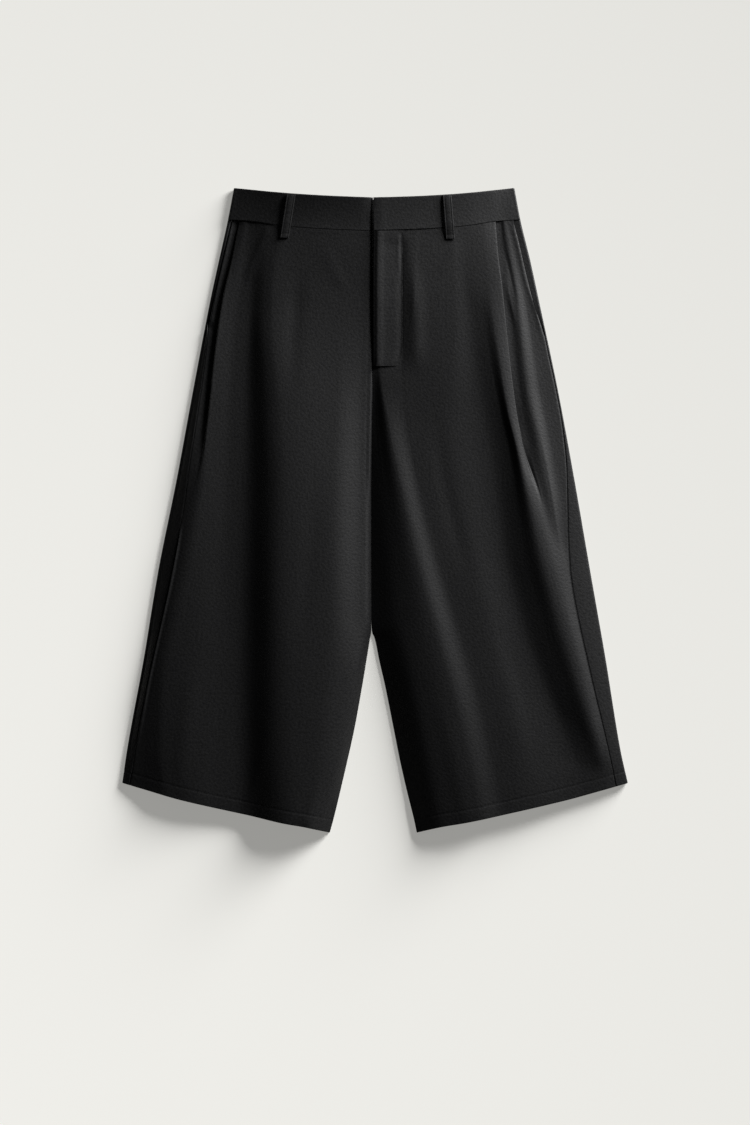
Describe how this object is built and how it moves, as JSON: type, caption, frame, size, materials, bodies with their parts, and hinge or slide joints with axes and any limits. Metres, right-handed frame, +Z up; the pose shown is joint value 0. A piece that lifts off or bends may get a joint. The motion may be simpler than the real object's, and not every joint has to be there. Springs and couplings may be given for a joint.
{
  "type": "culottes",
  "caption": "Wide-legged cropped trousers laid flat, with waistband, belt loops, fly, slanted pockets and pleats that open into broad folds down each leg.",
  "frame": {"origin": "middle of the garment as laid flat, on the surface it rests on", "axes": "+Y towards the waist along the garment's length, +X to the viewer's right across the legs (the wearer's left), +Z up out of the front"},
  "size_m": [0.581, 0.7405, 0.0232],
  "materials": {
    "front left cloth": "matte black suiting",
    "front right cloth": "matte black suiting",
    "back left cloth": "matte black suiting",
    "back right cloth": "matte black suiting",
    "waistband left cloth": "matte black suiting, interfaced",
    "waistband right cloth": "matte black suiting, interfaced",
    "waistband back cloth": "matte black suiting, interfaced",
    "fly cloth": "matte black suiting",
    "pocket facing left cloth": "matte black suiting",
    "pocket facing right cloth": "matte black suiting",
    "belt loop left cloth": "matte black suiting",
    "belt loop right cloth": "matte black suiting"
  },
  "bodies": {
    "root": {"front_left": "front left cloth", "front_right": "front right cloth", "back_left": "back left cloth", "back_right": "back right cloth", "waistband_left": "waistband left cloth", "waistband_right": "waistband right cloth", "waistband_back": "waistband back cloth", "fly": "fly cloth", "pocket_facing_left": "pocket facing left cloth", "pocket_facing_right": "pocket facing right cloth", "belt_loop_left": "belt loop left cloth", "belt_loop_right": "belt loop right cloth"}
  },
  "joints": []
}
